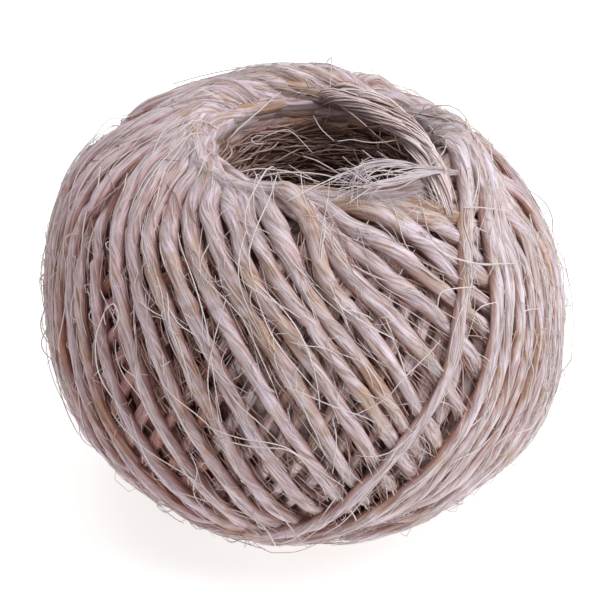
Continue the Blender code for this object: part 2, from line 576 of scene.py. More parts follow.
def sink_turns(path, across, radius, proud, age):
    """Middle height of each place and whether it shows, from the newest turn down.

    Each turn lies as high as the newer turns above it allow, so that the wound ball keeps the
    size of its solid.
    """
    surface = WoundSurface()
    length, azimuth = path
    count = len(length)
    middle = np.zeros(count)
    shows = np.zeros(count, bool)
    layers = np.maximum(age, 0.0) / TURNS_ROUND + 0.12
    deepest = -radius - layers * table_value(LAYER_DEPTH, np.abs(length))
    for stop in range(count, 0, -STEPS_PER_TURN):
        start = max(0, stop - STEPS_PER_TURN)
        begin = max(0, start - OVERLAP)
        part = slice(begin, stop)
        there = (length[part], azimuth[part])
        rest = surface.touching(*there, across[part], radius[part], NO_SHIFT, -1.0)[:, 1]
        low = spread_extreme(rest + proud[part], 4, np.minimum)
        low = np.maximum(low, deepest[part])
        after = min(count, stop + OVERLAP)
        low = blurred(np.concatenate([low, middle[stop:after]]), 4.0)
        middle[start:stop] = low[start - begin : stop - begin]
        turn = slice(start, stop)
        open_cells = spread_extreme(surface.covered.astype(np.int8), 3, np.minimum)
        open_cells = spread_extreme(open_cells.T, 4, np.minimum, ring=True).T == 0
        shows[turn] = open_cells[surface.cells(length[turn], azimuth[turn])]
        surface.lay_densely(
            length[turn], azimuth[turn], across[turn], middle[turn], radius[turn], -1.0
        )
    return middle, shows


def burial(length, azimuth, back):
    """How much painted shade a place gets, from how deep it lies: less so over the lips."""
    away = np.abs(length)
    dark = np.clip((-back - DARK_START) / table_value(DARK_DEPTH, away), 0.0, DARKEST)
    # Painted light on the turns just below the newest, and painted shade on them instead on the
    # left side
    below = smoothstep(*BELOW_DEPTHS, -back) * smoothstep(*BELOW_FADE, away)
    apart = np.abs((azimuth - PAINTED_SHADE_AZIMUTH + math.pi) % (2.0 * math.pi) - math.pi)
    shaded_side = smoothstep(*PAINTED_SHADE_REACH, apart)
    below *= SIDE_PAINTED_SHADE * shaded_side - PLAIN_SHADE * (1.0 - shaded_side)
    return dark + below + HOLE_SHADE * smoothstep(*HOLE_SHADE_RISE, away)


@functools.cache
def winding():
    """The whole twine, oldest first: middle line, lift, radius, painted shade from burial and what
    shows.
    """
    settings = bpy.context.scene.twine
    oldest = TURNS_ROUND * REVOLUTIONS
    count = int((oldest - NEWEST_AGE) * STEPS_PER_TURN)
    age = oldest - np.arange(count) / STEPS_PER_TURN
    rng = np.random.default_rng(settings.seed)
    run = np.arange(count) * (2.0 * math.pi * BALL_RADIUS / STEPS_PER_TURN)
    uneven = 0.07 * wave_noise(rng, run, 0.045) + 0.035 * wave_noise(rng, run, 0.009)
    radius = 0.5 * settings.thickness * (1.0 + uneven)
    path = turn_path(age)
    radius *= table_value(STRAND_WIDTH, np.abs(path[0]))
    radius *= 1.0 - 0.06 * smoothstep(0.8, 0.3, age)
    across = across_direction(*path)
    moved = slide_turns(path, across, radius)
    path = beside(*path, across, moved)
    proud = 0.00012 * wave_noise(rng, run, 0.030) + 0.0004 * np.exp(-np.maximum(age, 0.0) / 1.2)
    middle, shows = sink_turns(path, across, radius, proud, age)
    back = middle + radius * table_value(SQUEEZE, np.abs(path[0]))
    return {
        "age": age,
        "length": path[0],
        "azimuth": path[1],
        "lift": back - FLATNESS * radius,
        "radius": radius,
        "shows": shows & (back > -DEEPEST_SHOWN),
        "buried": burial(*path, back),
        "run": run,
    }


# Tubes of twisted fibre

# Painted shade on a strand's lower flanks: how much darker they are, against arc length
FLANK_SHADE = ((0.026, 0.30), (0.036, 0.14))

# How a strand sinks where it goes under others, in steps and metres
DIVE_STEPS = 3.0
DIVE_DEPTH = 0.0016

# Patches of colour on a strand: their length and strength
PATCH_LENGTH = 0.0045
PATCH_TONE = 0.62

# Places just off the floor, for strands and for single fibres
STRAND_FLOOR = 0.0002
FIBRE_FLOOR = 0.00005


def runs_of(flags, least=3):
    """(start, stop) of each unbroken run of true flags."""
    edges = np.flatnonzero(np.diff(np.concatenate([[0], flags.astype(int), [0]])))
    pairs = edges.reshape(-1, 2)
    return [(a, b) for a, b in pairs if b - a >= least]


def keep_off_floor(points, least):
    """Flattens what would sink below this height."""
    points[..., 2] = np.maximum(points[..., 2], least)
    return points


def finish_piece(piece):
    """Rides the piece on its body and lets it stand for the solid."""
    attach(piece, BODY)
    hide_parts(NODE)


def angles_round(sides):
    """Angles of the points of one ring."""
    return np.arange(sides) * (2.0 * math.pi / sides)


class TubePile:
    """Many tubes gathered as arrays, to become one mesh."""

    def __init__(self):
        self.points = []
        self.faces = []
        self.attributes = {}
        self.count = 0

    def add(self, rings, **attributes):
        """Adds one tube from its rings of points, closed at both ends."""
        turns, sides = rings.shape[:2]
        ends = np.stack([rings[0].mean(0), rings[-1].mean(0)])
        self.points.append(np.concatenate([rings.reshape(-1, 3), ends]))
        i = np.arange(turns - 1)[:, None] * sides
        j = np.arange(sides)[None, :]
        k = (j + 1) % sides
        quads = np.stack([i + j, i + k, i + sides + k, i + sides + j], 2).reshape(-1, 4)
        tail = (turns - 1) * sides
        first, last = turns * sides, turns * sides + 1
        j, k = j[0], k[0]
        start_fan = np.stack([k, j, np.full(sides, first)], 1)
        end_fan = np.stack([tail + j, tail + k, np.full(sides, last)], 1)
        fans = np.concatenate([start_fan, end_fan])
        self.faces.append((quads + self.count, fans + self.count))
        for name, values in attributes.items():
            flat = values.reshape(turns * sides, -1)
            caps = np.stack([values[0].mean(0), values[-1].mean(0)]).reshape(2, -1)
            self.attributes.setdefault(name, []).append(np.concatenate([flat, caps]))
        self.count += turns * sides + 2

    def to_piece(self, name, material):
        """Makes one finished piece of all the tubes."""
        points = np.concatenate(self.points)
        quads, fans = (np.concatenate(faces) for faces in zip(*self.faces))
        mesh = bpy.data.meshes.new(name)
        mesh.vertices.add(len(points))
        mesh.vertices.foreach_set("co", points.astype(np.float32).ravel())
        loops = np.concatenate([quads.ravel(), fans.ravel()])
        mesh.loops.add(len(loops))
        mesh.loops.foreach_set("vertex_index", loops.astype(np.int32))
        mesh.polygons.add(len(quads) + len(fans))
        starts = np.concatenate(
            [4 * np.arange(len(quads)), 4 * len(quads) + 3 * np.arange(len(fans))]
        )
        mesh.polygons.foreach_set("loop_start", starts.astype(np.int32))
        mesh.update(calc_edges=True)
        mesh.validate()
        for key, parts in self.attributes.items():
            values = np.concatenate(parts)
            wide = values.shape[1] == 3
            kind, field = ("FLOAT_VECTOR", "vector") if wide else ("FLOAT", "value")
            layer = mesh.attributes.new(key, kind, "POINT")
            layer.data.foreach_set(field, values.astype(np.float32).ravel())
        mesh.shade_smooth()
        mesh.materials.append(material)
        piece = bpy.data.objects.new(name, mesh)
        bpy.context.scene.collection.objects.link(piece)
        finish_piece(piece)


def twine_rings(middle, normal, radius, run, sides, rng):
    """Rings of a loosely twisted, flattened strand, and the fibre coordinates on them."""
    settings = bpy.context.scene.twine
    along = unit(np.gradient(middle, axis=0))
    up = unit(normal - along * (normal * along).sum(1)[:, None])
    side = np.cross(along, up)
    round_angle = angles_round(sides)
    twist = run * (2.0 * math.pi / settings.twist_pitch) + 0.5 * wave_noise(rng, run, 0.02)
    spun = round_angle[None, :] - twist[:, None]
    shape = np.ones_like(spun)
    for lobes, size in LOBES:
        drift = 1.3 * wave_noise(rng, run, 0.016)
        swell = size * (1.0 + 0.6 * wave_noise(rng, run, 0.010))
        shape += swell[:, None] * np.cos(
            lobes * spun + drift[:, None] + rng.uniform(0.0, 2.0 * math.pi)
        )
    reach = shape * radius[:, None]
    rings = middle[:, None, :]
    rings = rings + (WIDENING * reach * np.cos(round_angle))[:, :, None] * side[:, None, :]
    rings = rings + (FLATNESS * reach * np.sin(round_angle))[:, :, None] * up[:, None, :]
    offset = rng.uniform(-0.5, 0.5, 3)
    stretched = np.repeat((run * settings.fibre_stretch)[:, None], sides, 1)
    fibre = np.stack([reach * np.cos(spun), reach * np.sin(spun), stretched], 2)
    return rings, fibre + offset


def add_strand(pile, length, azimuth, lift, radius, run, buried, tone, sides, rng):
    """Adds one strand that lies on the form."""
    middle, normal = place(length, azimuth, lift)
    rings, fibre = twine_rings(middle, normal, radius, run, sides, rng)
    round_angle = angles_round(sides)
    flank = 1.0 - np.sin(round_angle)
    patches = PATCH_TONE * wave_noise(rng, run, PATCH_LENGTH)
    turning = 2.0 * wave_noise(rng, run, 2.0 * PATCH_LENGTH)
    patchy = tone[:, None] + patches[:, None] * np.cos(round_angle[None, :] + turning[:, None])
    # Painted shade on the lower flanks, on top of the painted light and shade of the place
    shade = table_value(FLANK_SHADE, np.abs(length))[:, None] * flank[None, :] ** 1.5
    shade = np.clip(PLAIN_SHADE + buried[:, None] + shade, 0.0, 1.0)
    rings = keep_off_floor(rings, STRAND_FLOOR)
    pile.add(rings, fibre=fibre, buried=shade[:, :, None], tone=patchy[:, :, None])


def dive(shows, start, stop, pick):
    """How far a length of strand sinks at the ends where it goes under others."""
    sink = np.zeros(len(pick))
    if start > 0 and not shows[start - 1]:
        sink += np.exp((start - pick) / DIVE_STEPS)
    if stop < len(shows) and not shows[stop]:
        sink += np.exp((pick - stop + 1) / DIVE_STEPS)
    return DIVE_DEPTH * sink


def wind_pieces(name, ages, stride, sides, parts):
    """Makes the pieces for the turns of these ages from what shows of them."""
    wound = winding()
    oldest, newest = ages
    shows = spread_extreme(wound["shows"].astype(int), 3, np.maximum) > 0
    rng = np.random.default_rng(int(oldest * 7) + 3)
    edges = np.linspace(oldest, newest, parts + 1)
    tone = 0.75 * wave_noise(rng, wound["run"], 0.060, 7)
    tone += 0.55 * wave_noise(rng, wound["run"], 0.014, 7)
    keys = ("length", "azimuth", "lift", "radius", "run", "buried")
    for index in range(parts):
        pile = TubePile()
        mine = (wound["age"] <= edges[index]) & (wound["age"] > edges[index + 1])
        for start, stop in runs_of(mine & shows, 2 * stride + 1):
            pick = np.arange(start, stop, stride)
            if pick[-1] != stop - 1:
                pick = np.append(pick, stop - 1)
            length, azimuth, lift, radius, run, buried = (wound[key][pick] for key in keys)
            lift -= dive(shows, start, stop, pick)
            add_strand(pile, length, azimuth, lift, radius, run, buried, tone[pick], sides, rng)
        pile.to_piece(f"{name}_{index + 1}", sisal_material("sisal_twine"))


# The hole's lining

# Lengths of old twine down the wall of the hole: arc length of the first row, its distance to the
# next, the lengths in a row, how far each reaches to both sides, the gap between its points, the
# least arc length that it comes up to, and the side of the wall with the least light
LINING_START = 0.0530
LINING_STEP = 0.0013
LINING_ARCS = 10
LINING_REACH = math.radians(36.0)
LINING_POINT_GAP = 0.0011
LINING_TOP = 0.0512
WALL_SHADE_AZIMUTH = math.radians(20.0)

# Older turns that dip into the mouth: how many go round it, the part of each that is drawn, and
# lean, depth below the form and painted shade of each layer
MOUTH_ARCS_ROUND = 22
MOUTH_ARC_SPAN = (math.radians(-26.0), math.radians(44.0))
MOUTH_LAYERS = (
    (21.5, 0.0004, 0.0),
    (19.0, 0.0006, 0.05),
    (16.5, 0.0008, 0.18),
    (14.2, 0.0010, 0.42),
)


def wall_light(azimuth):
    """How much light a side of the hole's wall gets, from 0 to 1: most on the left."""
    return (0.5 - 0.5 * np.cos(azimuth - WALL_SHADE_AZIMUTH)) ** 1.3


def lining_arc(pile, place_at, thickness, buried, rng):
    """Adds one short length of old twine, from its (arc length, azimuth, depth) along it."""
    length, azimuth, depth = place_at
    steps = np.hypot(np.diff(length), np.diff(azimuth) * HOLE_RADIUS * 1.2)
    run = summed(steps) + rng.uniform(0.0, 3.0)
    radius = 0.5 * thickness * (1.0 + 0.05 * wave_noise(rng, run, 0.010))
    tone = np.full(len(run), rng.normal(0.3, 0.9))
    lift = -FLATNESS * radius - depth
    buried = np.clip(buried, 0.0, 1.0)
    add_strand(pile, length, azimuth, lift, radius, run, buried, tone, 8, rng)


def spread_round(rng, count, jitter):
    """Azimuths spread evenly round the axis from a chance start, each a little off its place."""
    first = rng.uniform(0.0, 2.0 * math.pi)
    for index in range(count):
        yield first + (index + rng.uniform(-jitter, jitter)) * 2.0 * math.pi / count


def line_mouth(pile, side, rng):
    """Lengths of the older turns where they dip over the lip into the hole."""
    thickness = bpy.context.scene.twine.thickness
    turn = np.linspace(*MOUTH_ARC_SPAN, 26)
    before, after = (np.maximum(turn / end, 0.0) for end in MOUTH_ARC_SPAN)
    for lean, depth, layer_shade in MOUTH_LAYERS:
        deep = depth + 0.0036 * before**1.5 - 0.0005 * after + 0.0042 * after**3
        for middle in spread_round(rng, MOUTH_ARCS_ROUND, 0.3):
            leaning = math.radians(lean + rng.normal(0.0, 0.7))
            polar = np.arctan(math.tan(leaning) / np.cos(turn))
            azimuth = middle + turn
            place_at = (side * polar_to_length(polar), azimuth, deep)
            thick = thickness * rng.uniform(0.80, 1.0)
            # Painted shade of the layer, less on the side of the hole with the most light
            lining_arc(pile, place_at, thick, layer_shade * (1.0 - 0.5 * wall_light(azimuth)), rng)


def line_hole(name, side):
    """Lengths of the old turns, from the lip down the wall of one half of the hole."""
    thickness = bpy.context.scene.twine.thickness
    rng = np.random.default_rng(31 if side > 0.0 else 32)
    half = section()["half"]
    pile = TubePile()
    line_mouth(pile, side, rng)
    for level in np.arange(LINING_START, half + 0.0006, LINING_STEP):
        radius = float(section_radius(side * level))
        deep_share = np.clip((level - 0.052) / 0.010, 0.0, 1.0)
        for middle in spread_round(rng, LINING_ARCS, 0.25):
            reach = LINING_REACH * rng.uniform(0.8, 1.1)
            count = int(2.0 * reach * radius / LINING_POINT_GAP) + 2
            turn = np.linspace(-reach, reach, count)
            sink = radius * (1.0 / np.cos(turn) - 1.0)
            slope = rng.normal(0.0, 0.20)
            at = level + rng.normal(0.0, 0.0006)
            length = np.clip(at + 0.35 * sink + slope * radius * turn, LINING_TOP, half)
            depth = 0.0002 + 0.55 * sink + 0.0007 * rng.random()
            # Painted shade: darker on the side of the wall with the least light, further down, and
            # where a length sinks
            shade = 0.86 - 0.66 * float(wall_light(middle)) + 0.3 * deep_share + 80.0 * sink
            place_at = (side * length, middle + turn, depth)
            lining_arc(pile, place_at, thickness * rng.uniform(0.40, 0.75), shade, rng)
    pile.to_piece(name, sisal_material("sisal_lining"))


# Stray fibres

# Pieces of fibres that leave their strand at a small angle: name, seed, number of fibres, least
# and greatest length, points on each, how far it strays in degrees, how high it rises, its
# radius, and the lowest lift of a strand that it grows from
COMBED_FIBRES = (
    ("close_fibres", 61, 3600, (0.004, 0.014), 5, 7.0, 0.00012, 0.00006, -0.0040),
    ("stray_fibres", 62, 820, (0.006, 0.022), 10, 9.0, 0.00035, 0.00010, -0.0030),
    ("wild_fibres", 63, 130, (0.010, 0.026), 14, 18.0, 0.0008, 0.00012, -0.0020),
    ("short_fibres", 65, 1300, (0.002, 0.006), 5, 30.0, 0.0005, 0.00006, -0.0020),
    ("gap_fibres", 64, 400, (0.004, 0.012), 8, 18.0, 0.00030, 0.00009, -0.0060),
)

# The steps at the twine's ends that grow no fibres, the share of fibres with both ends down, the
# reach across the strand as a share of its radius, and the highest lift of a fibre
BARE_STEPS = 20
BOTH_ENDS_DOWN = 0.7
COMBED_ASIDE = 0.8
COMBED_LIFT_CAP = 0.0014

# How far the fibres in the gaps and in the hole curl, in degrees
LOOSE_CURL = math.radians(9.0)

# Fibres in the gaps, with painted shade: their number, the ages of the turns beside them, how far
# along the section they go, and their distance to the side, depth, length and radius
FUZZ_COUNT = 2500
FUZZY_AGES = (12.5, 28.5)
FUZZY_LENGTH = 0.032
FUZZ_ASIDE = (0.0011, 0.0022)
FUZZ_DEPTH = (0.0006, 0.0018)
FUZZ_LENGTH = (0.004, 0.010)
FUZZ_RADIUS = (0.00006, 0.00013)

# Loose fibres on the wall of each half of the hole: their number, the arc lengths where they
# start, the least that they reach, and their length and radius
HAY_COUNT = 740
HAY_LEVELS = (0.0515, 0.0640)
HAY_TOP = 0.0500
HAY_LENGTH = (0.004, 0.013)
HAY_RADIUS = (0.00007, 0.00020)

# Loose fibres across the turns: (arc length in mm, azimuth in degrees, lift in mm) along each
LONG_FIBRES = (
    ((2.0, 248.7, 0.2), (1.4, 256.5, 1.0), (1.2, 264.0, 1.5), (-0.7, 268.8, 1.4),
     (-7.9, 278.4, 0.2)),
    ((0.4, 250.2, 0.1), (0.1, 258.6, 0.9), (-0.1, 267.0, 1.2), (-5.3, 272.7, 0.6)),
    ((4.8, 275.7, 0.3), (1.6, 276.3, 1.0), (-5.1, 275.7, 0.2)),
    ((-9.9, 276.6, 0.4), (-11.9, 274.8, 1.0), (-16.4, 273.0, 0.3)),
    ((4.6, 278.1, 0.3), (7.6, 286.5, 1.4), (10.4, 291.0, 1.6), (14.3, 301.2, 0.6)),
    ((19.3, 302.7, 0.2), (21.1, 303.6, 1.4), (21.1, 307.2, 1.8), (19.9, 315.0, 0.4)),
    ((16.3, 312.3, 0.3), (16.9, 314.4, 1.2), (16.1, 319.8, 0.3)),
    ((11.4, 324.6, 0.2), (12.4, 327.3, 1.2), (10.2, 334.8, 0.2)),
    ((12.2, 219.6, 0.2), (14.3, 219.9, 1.4), (16.3, 222.5, 1.8), (14.5, 224.4, 1.2),
     (11.8, 222.3, 0.1)),
    ((-3.7, 245.1, 0.2), (-6.1, 246.9, 1.1), (-10.1, 245.4, 1.2), (-14.4, 244.8, 0.2)),
    ((29.8, 228.6, 0.1), (25.2, 238.8, 0.5), (20.1, 245.1, 0.7), (14.3, 248.7, 0.6),
     (3.2, 252.3, 0.1)),
    ((22.3, 250.2, 0.1), (15.9, 249.3, 0.7), (9.8, 249.0, 0.8), (3.4, 250.5, 0.1)),
    ((32.2, 321.3, 0.4), (30.4, 327.0, 1.0), (28.2, 333.9, 0.9), (25.4, 342.6, 0.2)),
    ((51.0, 160.8, 0.1), (49.1, 156.6, 1.0), (48.3, 143.7, 1.6), (47.5, 129.0, 1.6),
     (46.3, 114.6, 0.4)),
    ((43.5, 238.0, -1.4), (44.0, 248.0, -0.2), (44.2, 259.6, 0.2), (43.6, 270.4, 0.0),
     (42.8, 279.2, -0.8)),
    ((43.3, 228.4, -1.2), (45.0, 236.8, 0.2), (45.0, 249.2, 0.4), (43.8, 257.6, -0.4),
     (42.8, 266.8, -1.0)),
)

# Loose fibres across the upper mouth: points in mm
MOUTH_FIBRES = (
    ((5.4, 1.1, 64.0), (7.8, 0.7, 64.5), (10.4, -1.2, 65.0), (13.1, -2.0, 65.5),
     (18.5, -1.0, 66.0)),
    ((-8.4, 2.1, 62.0), (-6.8, 1.0, 64.5), (-4.7, 1.2, 65.5), (-2.2, 0.9, 66.0),
     (1.5, -1.2, 63.0)),
    ((-6.5, 1.1, 65.0), (-7.7, -0.8, 66.0), (-8.4, -2.3, 66.0), (-7.7, -2.7, 65.5),
     (-6.4, -1.4, 65.0)),
    ((1.6, 6.3, 66.0), (2.6, 2.3, 66.0), (3.6, -0.1, 66.0), (4.9, -0.7, 65.0)),
    ((-2.4, -7.1, 64.0), (-0.6, -12.4, 65.5), (1.0, -16.8, 66.8), (2.2, -20.2, 67.2)),
    ((-0.1, -2.1, 63.0), (2.1, -6.7, 64.5), (4.2, -11.7, 65.8), (6.0, -17.5, 67.6)),
    ((9.4, -3.8, 65.0), (10.7, -8.2, 66.0), (11.9, -12.2, 67.2)),
    ((11.8, -4.2, 65.0), (13.0, -8.2, 66.0), (14.2, -12.2, 67.2)),
)

# Two loose strands of fibres that cut the far right corner of the upper mouth, in mm
RIM_STRANDS = (
    (
        (2.6, 19.6, 62.8), (5.0, 14.6, 65.3), (7.9, 9.7, 66.6),
        (11.3, 6.0, 66.9), (15.9, -0.8, 66.9), (18.5, -7.8, 66.7),
        (20.1, -13.7, 65.6), (20.9, -16.6, 63.4), (21.4, -18.6, 60.5),
    ),
    (
        (4.6, 20.4, 63.4), (7.0, 15.4, 66.2), (9.9, 10.7, 67.2),
        (13.1, 6.4, 67.4), (17.3, -0.4, 67.4), (20.0, -7.7, 67.2),
        (21.4, -13.1, 66.2), (22.3, -16.6, 63.8), (22.8, -18.6, 61.0),
    ),
)

# Number of fibres in each of them, its radius, and the length in which its fibres go round once
RIM_STRAND_FIBRES = 44
RIM_STRAND_RADIUS = 0.00115
RIM_STRAND_PITCH = 0.034

# The share of those fibres that stand off their strand, and how far, as a factor
RIM_LOOSE_SHARE = 0.2
RIM_LOOSE_REACH = 1.4

# The tucked outer end of the twine: its fibres, the streams that they gather in (place between
# the fray's edges, spread and share of the fibres), the edges, and fibres across it
END_FIBRES = 64
END_POINTS = 40
END_STREAMS = ((0.0, 0.03, 0.40), (0.16, 0.05, 0.20), (0.97, 0.09, 0.26), (0.5, 0.25, 0.14))
END_UPPER = (
    (41.3, 276.6, 0.0), (43.6, 281.2, 0.6), (44.2, 286.8, 1.7), (44.2, 293.6, 2.1),
    (43.8, 300.8, 1.9), (43.2, 307.2, 1.3), (41.7, 312.3, 0.8), (40.7, 320.1, 0.1),
    (39.1, 327.6, -0.6), (37.4, 334.8, -1.2),
)
END_LOWER = (
    (40.9, 277.5, 0.1), (40.7, 285.0, 0.2), (40.7, 291.9, 0.4),
    (40.7, 298.8, 0.6), (40.7, 305.7, 0.7), (40.5, 311.7, 0.5),
    (40.1, 318.9, 0.0), (38.7, 326.1, -0.6), (37.0, 334.0, -1.2),
)
END_WEB = (
    ((43.8, 283.6, 1.1), (43.2, 287.2, 0.4), (41.2, 291.2, 0.4)),
    ((43.8, 297.6, 1.7), (43.3, 291.2, 0.8), (41.4, 284.8, 0.3)),
    ((44.0, 290.8, 1.9), (43.2, 296.0, 0.9), (41.0, 300.4, 0.5)),
    ((43.5, 305.2, 1.2), (43.0, 298.4, 0.8), (41.0, 294.4, 0.4)),
)


def fibre_rings(path, radius, sides=3):
    """Rings of a fine fibre along a path of points, tapering to its ends."""
    along = unit(np.gradient(path, axis=0))
    helper = np.where(np.abs(along[:, 2:3]) < 0.9, ((0.0, 0.0, 1.0),), ((1.0, 0.0, 0.0),))
    side = unit(np.cross(along, helper))
    up = np.cross(side, along)
    taper = np.sin(np.linspace(0.16, 0.90, len(path)) * math.pi) ** 0.4
    angle = angles_round(sides)[None, :, None]
    round_path = np.cos(angle) * side[:, None, :] + np.sin(angle) * up[:, None, :]
    return path[:, None, :] + (radius * taper)[:, None, None] * round_path


def add_fibre(pile, path, radius, tone):
    """Adds one fibre with one tone all along."""
    rings = keep_off_floor(fibre_rings(path, radius), FIBRE_FLOOR)
    pile.add(rings, tone=np.full((*rings.shape[:2], 1), tone))


def curled(rng, at, amount):
    """A smooth wandering of a fibre's heading along its shares, of about this many radians."""
    phase = rng.uniform(0.0, 2.0 * math.pi, 2)
    slow = np.sin(at * rng.uniform(2.0, 5.0) + phase[0]) - math.sin(phase[0])
    quick = np.sin(at * rng.uniform(6.0, 11.0) + phase[1]) - math.sin(phase[1])
    return amount * (rng.normal(0.0, 1.1) * at + 0.9 * slow + 0.35 * quick)


def strayed(rng, heading, degrees):
    """The heading or its opposite, turned by a chance angle of about this many degrees."""
    heading += math.pi * rng.integers(0, 2)
    return heading + math.radians(rng.normal(0.0, degrees))


def walked(heading, step):
    """Distances along the section and round the axis, for a heading at each place of a path."""
    return summed(np.cos(heading[:-1]) * step), summed(np.sin(heading[:-1]) * step)


def chance_tone(rng, middle, spread):
    """A fibre's tone, from 0 to 1."""
    return float(np.clip(rng.normal(middle, spread), 0.0, 1.0))


def combed_fibres(name, seed, count, reach, points, stray_deg, rise, radius, deepest):
    """Fibres that leave their strand at a small angle and lie along the ball."""
    wound = winding()
    rng = np.random.default_rng(seed)
    places = np.flatnonzero(wound["shows"] & (wound["lift"] > deepest))
    at = np.linspace(0.0, 1.0, points)
    pile = TubePile()
    for start in rng.choice(places, count):
        if not BARE_STEPS < start < len(wound["age"]) - BARE_STEPS:
            continue
        length, azimuth = wound["length"][start], wound["azimuth"][start]
        strand_radius = wound["radius"][start]
        round_axis = float(section_radius(length))
        step_length = wound["length"][start + 1] - wound["length"][start - 1]
        step_azimuth = wound["azimuth"][start + 1] - wound["azimuth"][start - 1]
        step_azimuth = (step_azimuth + math.pi) % (2.0 * math.pi) - math.pi
        heading = math.atan2(step_azimuth * round_axis, step_length)
        heading = strayed(rng, heading, 0.6 * stray_deg)
        long = reach[0] + (reach[1] - reach[0]) * rng.random() ** 2
        turn = heading + curled(rng, at, math.radians(stray_deg))
        along, around = walked(turn, long / (points - 1))
        offset = rng.uniform(-COMBED_ASIDE, COMBED_ASIDE) * strand_radius
        along += length - math.sin(heading) * offset
        around += math.cos(heading) * offset
        height = rise * rng.exponential(1.0)
        both_ends = rng.random() < BOTH_ENDS_DOWN
        shape = np.sin(at * math.pi) if both_ends else at**1.6
        top = wound["lift"][start] + FLATNESS * strand_radius - 0.35 * abs(offset)
        lift = top - 0.00008 + (height + 0.00012) * shape
        azimuth = azimuth + around / max(round_axis, 0.012)
        path, _ = place(along, azimuth, np.minimum(lift, COMBED_LIFT_CAP))
        tone = chance_tone(rng, 0.88, 0.16)
        add_fibre(pile, path, radius * rng.uniform(0.7, 1.3), tone)
    pile.to_piece(name, fibre_material("sisal_fibre"))


def fill_gaps(name, seed):
    """Fibres that run along the newest turns, down in the gaps between them, with painted shade."""
    wound = winding()
    rng = np.random.default_rng(seed)
    newest = (wound["age"] > FUZZY_AGES[0]) & (wound["age"] < FUZZY_AGES[1])
    places = np.flatnonzero(newest & (np.abs(wound["length"]) < FUZZY_LENGTH))
    across = across_direction(wound["length"], wound["azimuth"])
    at = np.linspace(0.0, 1.0, 7)
    pile = TubePile()
    for start in rng.choice(places, FUZZ_COUNT):
        length, azimuth = wound["length"][start], wound["azimuth"][start]
        up, right = across[start]
        aside = rng.choice((-1.0, 1.0)) * rng.uniform(*FUZZ_ASIDE)
        heading = strayed(rng, math.atan2(up, -right), 9.0)
        turn = heading + curled(rng, at, LOOSE_CURL)
        along, around = walked(turn, rng.uniform(*FUZZ_LENGTH) / (len(at) - 1))
        depth = rng.uniform(*FUZZ_DEPTH)
        lift = -depth + 0.0003 * rng.normal() * np.sin(at * math.pi)
        azimuth = azimuth + (around + right * aside) / float(section_radius(length))
        path, _ = place(length + along + up * aside, azimuth, lift)
        # Painted shade: the deeper a fibre lies, the darker its tone
        shade = (depth - FUZZ_DEPTH[0]) / (FUZZ_DEPTH[1] - FUZZ_DEPTH[0])
        tone = chance_tone(rng, 0.70 - 0.55 * shade, 0.16)
        add_fibre(pile, path, rng.uniform(*FUZZ_RADIUS), tone)
    pile.to_piece(name, fibre_material("sisal_fuzz"))


def lay_hay(name, side, seed):
    """Loose brown fibres of the old turns, over the wall of one half of the hole, with painted
    light and shade by side.
    """
    rng = np.random.default_rng(seed)
    at = np.linspace(0.0, 1.0, 9)
    pile = TubePile()
    for _ in range(HAY_COUNT):
        length = rng.uniform(*HAY_LEVELS)
        azimuth = rng.uniform(0.0, 2.0 * math.pi)
        heading = strayed(rng, 0.5 * math.pi, 11.0)
        turn = heading + curled(rng, at, LOOSE_CURL)
        along, around = walked(turn, rng.uniform(*HAY_LENGTH) / (len(at) - 1))
        around /= float(section_radius(length))
        along = np.clip(length + along, HAY_TOP, section()["half"])
        lift = -0.0007 + (0.0006 + 0.0006 * rng.exponential(1.0)) * np.sin(at * math.pi)
        path, _ = place(side * along, azimuth + around, lift)
        # Painted light: fibres are paler on the side of the wall with the most light
        tone = chance_tone(rng, 0.05 + 0.55 * wall_light(azimuth), 0.20)
        add_fibre(pile, path, rng.uniform(*HAY_RADIUS), tone)
    pile.to_piece(name, fibre_material("sisal_hay"))


def through_knots(knots, count):
    """A smooth path of this many points through the knots."""
    knots = np.array(knots, float)
    before = 2.0 * knots[:1] - knots[1:2]
    after = 2.0 * knots[-1:] - knots[-2:-1]
    longer = np.concatenate([before, knots, after])
    at = np.linspace(0.0, len(knots) - 1.0, count)
    i = np.minimum(at.astype(int), len(knots) - 2)
    share = (at - i)[:, None]
    a, b, c, d = (longer[i + k] for k in range(4))
    path = b + 0.5 * (c - a) * share
    path += (a - 2.5 * b + 2.0 * c - 0.5 * d) * share**2
    path += 0.5 * (3.0 * (b - c) + d - a) * share**3
    return path


def on_form(knots):
    """Points of (arc length in mm, azimuth in degrees, lift in mm) rows."""
    rows = np.asarray(knots, float)
    return place(rows[:, 0] / 1000.0, np.radians(rows[:, 1]), rows[:, 2] / 1000.0)[0]


def lay_long_fibres(name):
    """The long loose fibres that cross the turns, and those that cross the upper mouth."""
    rng = np.random.default_rng(81)
    pile = TubePile()
    for knots in LONG_FIBRES:
        path = on_form(through_knots(knots, 6 * len(knots)))
        add_fibre(pile, path, rng.uniform(0.00010, 0.00014), rng.uniform(0.75, 1.0))
    for knots in MOUTH_FIBRES:
        path = through_knots(knots, 6 * len(knots)) / 1000.0
        add_fibre(pile, path, rng.uniform(0.00009, 0.00012), rng.uniform(0.55, 0.9))
    pile.to_piece(name, fibre_material("sisal_fibre"))


